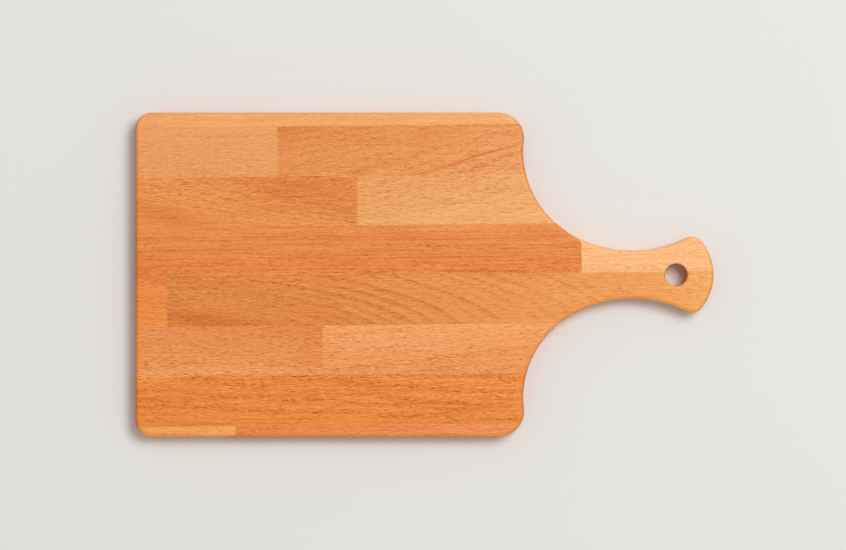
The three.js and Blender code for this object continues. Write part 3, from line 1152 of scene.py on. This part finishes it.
class CHEESE_BOARD_OT_edge_strips(Operator):
    """Cut the narrow strips along the back and front edges"""

    bl_idname = "cheese_board.edge_strips"
    bl_label = "Edge Strips"

    def execute(self, context):
        return make_staves(context, EDGE_STRIPS)


class CHEESE_BOARD_OT_body_staves(Operator):
    """Cut the staves that end in the body"""

    bl_idname = "cheese_board.body_staves"
    bl_label = "Body Staves"

    def execute(self, context):
        others = EDGE_STRIPS + HANDLE_STAVES
        return make_staves(context, [stave.node for stave in STAVES if stave.node not in others])


class CHEESE_BOARD_OT_handle_staves(Operator):
    """Cut the two staves that make the handle"""

    bl_idname = "cheese_board.handle_staves"
    bl_label = "Handle Staves"

    def execute(self, context):
        return make_staves(context, HANDLE_STAVES)


class CHEESE_BOARD_OT_glue_lines(Operator):
    """Fill the long seams between the rows with glue"""

    bl_idname = "cheese_board.glue_lines"
    bl_label = "Glue Lines"

    def execute(self, context):
        shape = context.scene.board_shape
        blank = board_blank(shape)
        for row in range(1, ROW_COUNT):
            seam = seam_after(shape, row)
            film = (seam - shape.glue_film / 2, seam + shape.glue_film / 2)
            line = f"glue_line_{row}_{row + 1}"
            piece = cut_stretch(shape, blank, "cured_" + line, *open_ends(shape), *film)
            nodes = [node for node in (line, line + "_end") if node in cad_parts]
            dress(piece, glue_material(context.scene.beech_finish), *nodes)
        discard(blank)
        return {"FINISHED"}


class CHEESE_BOARD_OT_finger_glue(Operator):
    """Fill the finger joints with glue"""

    bl_idname = "cheese_board.finger_glue"
    bl_label = "Finger Glue"

    def execute(self, context):
        shape = context.scene.board_shape
        blank = board_blank(shape)
        for row in END_JOINTS:
            node = f"finger_glue_{row}"
            sides = joint_sides(shape, row)
            piece = cut_stretch(shape, blank, "cured_" + node, *sides, *row_edges(shape, row))
            dress(piece, glue_material(context.scene.beech_finish), node)
        discard(blank)
        return {"FINISHED"}


# Stage


def floor_material(stage):
    """A plain pale floor, mottled a little."""
    material, wiring = new_material("pale_floor")
    where = wiring.add("ShaderNodeTexCoord", {}).outputs["Object"]
    clouds = wiring.noise(where, FLOOR_CLOUD_SIZE, detail=2.0)
    rough = wiring.math("MULTIPLY_ADD", clouds, FLOOR_CLOUD_ROUGHNESS, FLOOR_ROUGHNESS)
    finish_material(wiring, {"Base Color": (*stage.floor, 1), "Roughness": rough})
    return material


def make_floor(stage):
    """A wide flat floor just under the board."""
    floor = bmesh.new()
    bmesh.ops.create_grid(floor, x_segments=FLOOR_SQUARES, y_segments=FLOOR_SQUARES, size=stage.floor_reach)
    mesh = bpy.data.meshes.new("floor")
    floor.to_mesh(mesh)
    floor.free()
    thing = add_object("floor", mesh)
    thing.location.z = CAD_LOW.z - stage.floor_drop
    mesh.materials.append(floor_material(stage))


def make_light(stage):
    """An even sky and one soft lamp, high at the back on the handle's side."""
    scene = bpy.context.scene
    world = bpy.data.worlds.new("studio")
    scene.world = world
    world.use_nodes = True
    sky = world.node_tree.nodes["Background"]
    sky.inputs["Color"].default_value = (1, 1, 1, 1)
    sky.inputs["Strength"].default_value = stage.sky_strength
    lamp = bpy.data.lights.new("key", "AREA")
    lamp.energy = stage.key_power
    lamp.size = stage.key_width
    key = bpy.data.objects.new("key", lamp)
    key.location = stage.key_place
    key.rotation_euler = (-Vector(stage.key_place)).to_track_quat("-Z", "Y").to_euler()
    scene.collection.objects.link(key)


def make_camera(stage):
    """A camera that looks straight down at the serving face."""
    lens = bpy.data.cameras.new("camera")
    lens.lens = stage.lens
    camera = bpy.data.objects.new("camera", lens)
    distance = stage.frame_width * stage.lens / lens.sensor_width
    camera.location = (*stage.frame_middle, CAD_HIGH.z + distance)
    bpy.context.scene.collection.objects.link(camera)
    bpy.context.scene.camera = camera


class CHEESE_BOARD_OT_stage(Operator):
    """Set the floor, the light and the camera"""

    bl_idname = "cheese_board.stage"
    bl_label = "Stage"

    def execute(self, context):
        stage = context.scene.stage_look
        make_floor(stage)
        make_light(stage)
        make_camera(stage)
        context.scene.view_settings.view_transform = "Standard"
        return {"FINISHED"}


# Panel and registration

OPERATORS = (
    CHEESE_BOARD_OT_edge_strips,
    CHEESE_BOARD_OT_body_staves,
    CHEESE_BOARD_OT_handle_staves,
    CHEESE_BOARD_OT_glue_lines,
    CHEESE_BOARD_OT_finger_glue,
    CHEESE_BOARD_OT_stage,
)

SETTINGS = {"board_shape": BoardShape, "beech_finish": BeechFinish, "stage_look": StageLook}


class VIEW3D_PT_cheese_board(Panel):
    """Lists the board's settings and the steps that build it"""

    bl_label = "Cheese Board"
    bl_space_type = "VIEW_3D"
    bl_region_type = "UI"
    bl_category = "Cheese Board"

    def draw(self, context):
        for operator in OPERATORS:
            self.layout.operator(operator.bl_idname)
        for name, group in SETTINGS.items():
            box = self.layout.box()
            for setting in group.__annotations__:
                box.prop(getattr(context.scene, name), setting)


def register():
    """Registers the settings, the operators and the panel."""
    for group in SETTINGS.values():
        bpy.utils.register_class(group)
    for name, group in SETTINGS.items():
        setattr(bpy.types.Scene, name, PointerProperty(type=group))
    for operator in OPERATORS:
        bpy.utils.register_class(operator)
    bpy.utils.register_class(VIEW3D_PT_cheese_board)


def unregister():
    """Takes everything that was registered out again."""
    bpy.utils.unregister_class(VIEW3D_PT_cheese_board)
    for operator in reversed(OPERATORS):
        bpy.utils.unregister_class(operator)
    for name, group in SETTINGS.items():
        delattr(bpy.types.Scene, name)
        bpy.utils.unregister_class(group)


def main():
    """Builds the board and its stage."""
    register()
    bpy.ops.cheese_board.edge_strips()
    bpy.ops.cheese_board.body_staves()
    bpy.ops.cheese_board.handle_staves()
    bpy.ops.cheese_board.glue_lines()
    bpy.ops.cheese_board.finger_glue()
    bpy.ops.cheese_board.stage()


if __name__ == "__main__":
    main()
